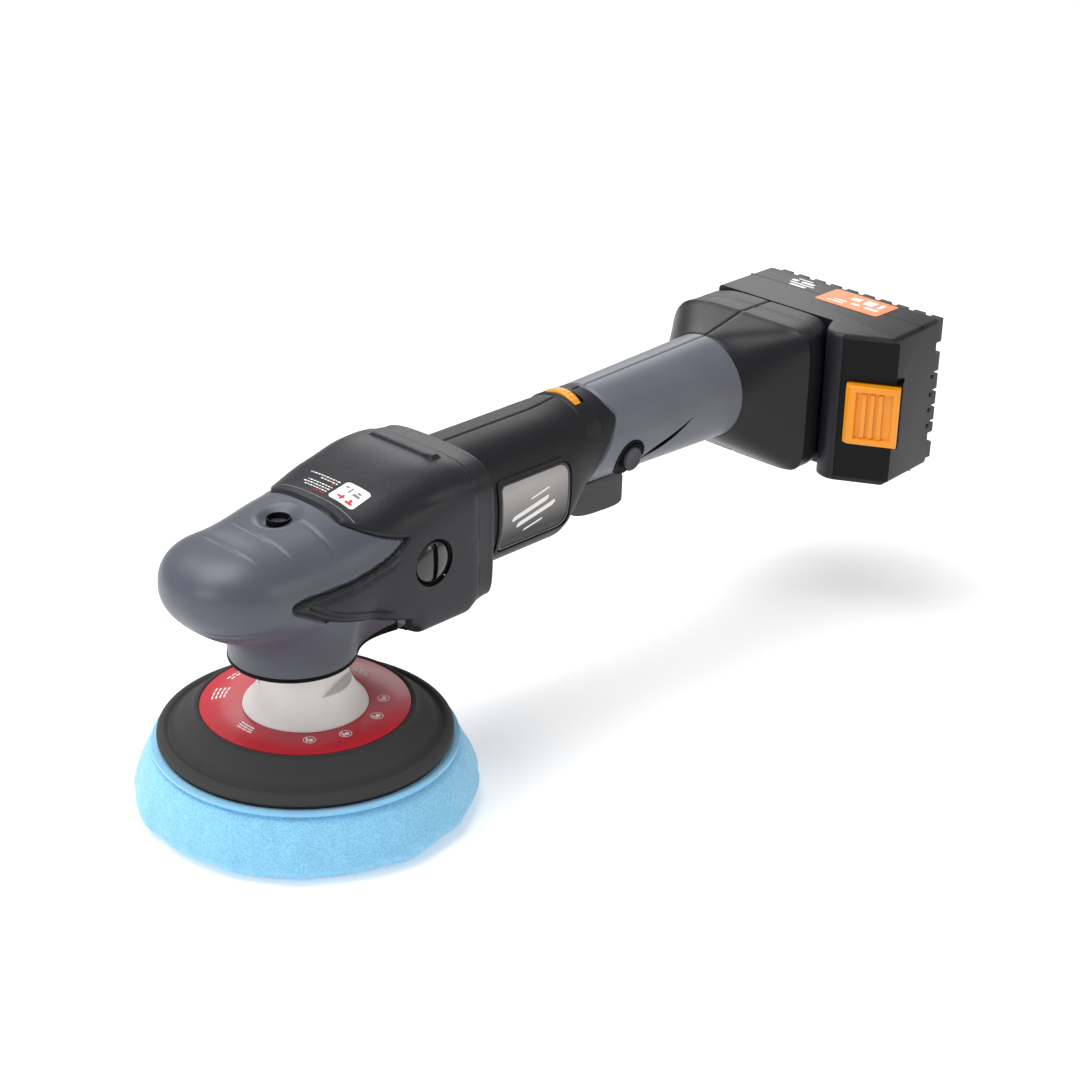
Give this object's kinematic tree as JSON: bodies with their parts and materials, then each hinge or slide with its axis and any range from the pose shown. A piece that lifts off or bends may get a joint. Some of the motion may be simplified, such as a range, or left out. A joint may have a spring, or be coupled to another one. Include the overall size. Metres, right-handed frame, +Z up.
{
  "type": "dual action polisher",
  "caption": "Cordless dual action polisher: foam pad on an orbiting backing plate, bevel-gear head, barrel grip with trigger and speed dial, and a side-sliding battery pack.",
  "frame": {"origin": "on the drive spindle's axis, at the foam pad's polishing face", "axes": "+X from the head along the handle to the battery, +Z up from the pad, +Y to the side away from the lock button"},
  "size_m": [0.4297, 0.1524, 0.1513],
  "materials": {
    "grey_shell": "satin soft grey plastic",
    "black_shell": "fine-textured charcoal plastic",
    "soft_black": "soft matt grip",
    "barrel_grey": "satin grey plastic",
    "dark_plastic": "plain dark plastic",
    "casting": "die-cast",
    "steel": "turned steel",
    "bearing_steel": "ground steel",
    "lamination": "dark laminated iron",
    "magnet": "ferrite",
    "copper": "enamelled copper",
    "brass": "contact metal",
    "carbon": "pressed carbon",
    "board": "circuit board",
    "badge": "gunmetal plate",
    "sticker": "printed label",
    "red_label": "printed red ring",
    "hub_white": "off-white moulding",
    "plate_rubber": "semi-gloss black",
    "hook": "hook fabric",
    "loop": "loop fabric",
    "foam": "open-cell foam",
    "orange": "satin orange plastic",
    "button_grey": "satin dark grey",
    "battery_black": "fine-textured charcoal plastic",
    "cell_wrap": "wrapped cells",
    "orange_label": "printed orange label"
  },
  "bodies": {
    "tool": {"nose_cover": "grey_shell", "front_cover": "black_shell", "gear_housing": "casting", "neck_ring": "soft_black", "brush_caps": "dark_plastic", "motor_can": "steel", "field_magnets": "magnet", "brush_frame": "dark_plastic", "carbon_brushes": "carbon", "pinion_bearing": "bearing_steel", "motor_rear_bearing": "bearing_steel", "spindle_upper_bearing": "bearing_steel", "spindle_lower_bearing": "bearing_steel", "bearing_retainer": "steel", "gearbox_screws": "steel", "nose_screw": "steel", "housing_left": "barrel_grey", "housing_right": "barrel_grey", "grip_left": "soft_black", "grip_right": "soft_black", "badge_plates": "badge", "housing_screws": "steel", "switch_module": "dark_plastic", "control_board": "board", "speed_sensor": "dark_plastic", "terminal_block": "brass", "foot_left": "black_shell", "foot_right": "black_shell", "warning_label": "sticker", "trigger_pin": "steel", "trigger_spring": "steel", "lock_spring": "steel"},
    "rotor": {"rotor_shaft": "steel", "bevel_pinion": "steel", "armature_core": "lamination", "armature_winding": "copper", "commutator": "copper", "cooling_fan": "dark_plastic"},
    "spindle": {"spindle_shaft": "steel", "bevel_gear": "steel", "eccentric_carrier": "steel", "pad_bearings": "bearing_steel"},
    "pad": {"pad_spindle": "steel", "pad_hub": "hub_white", "backing_plate": "plate_rubber", "label_ring": "red_label", "pad_bolt": "steel", "hook_face": "hook", "pad_loop_layer": "loop", "foam_pad": "foam"},
    "trigger": {"trigger": "button_grey"},
    "lock_button": {"lock_button": "button_grey"},
    "speed_dial": {"speed_dial": "orange"},
    "battery": {"battery_case": "battery_black", "battery_back": "battery_black", "battery_cells": "cell_wrap", "battery_contacts": "brass", "battery_label": "orange_label", "release_spring": "steel"},
    "release_button": {"release_button": "orange"}
  },
  "joints": [
    {"name": "spindle_spin", "type": "hinge", "parent": "tool", "child": "spindle", "pos_m": [0, 0, 0.09], "axis": [0, 0, 1], "continuous": true},
    {"name": "rotor_spin", "type": "hinge", "parent": "tool", "child": "rotor", "pos_m": [0, 0, 0.109], "axis": [1, 0, 0], "continuous": true},
    {"name": "pad_spin", "type": "hinge", "parent": "spindle", "child": "pad", "pos_m": [0.00383, -0.00321, 0.075], "axis": [0, 0, 1], "continuous": true},
    {"name": "trigger_pull", "type": "hinge", "parent": "tool", "child": "trigger", "pos_m": [0.1605, 0, 0.0955], "axis": [0, -1, 0], "range_deg": [0, 6], "stiffness_Nm_per_rad": 1.5, "springref_deg": -5.73, "deforming": ["trigger_spring"]},
    {"name": "lock_press", "type": "slide", "parent": "tool", "child": "lock_button", "axis": [0, 1, 0], "range_m": [0, 0.003], "stiffness_N_per_m": 1500, "springref_m": -0.001, "deforming": ["lock_spring"]},
    {"name": "dial_turn", "type": "hinge", "parent": "tool", "child": "speed_dial", "pos_m": [0.163, 0, 0.13], "axis": [1, 0, 0], "range_deg": [-130, 130]},
    {"name": "battery_slide", "type": "slide", "parent": "tool", "child": "battery", "axis": [0, -1, 0], "range_m": [0, 0.07]},
    {"name": "release_press", "type": "slide", "parent": "battery", "child": "release_button", "axis": [0.8685, 0.4958, 0], "range_m": [0, 0.003], "stiffness_N_per_m": 1500, "springref_m": -0.001, "deforming": ["release_spring"]}
  ],
  "couplings": [
    {"joint": "rotor_spin", "follows": "spindle_spin", "ratio": 3}
  ]
}
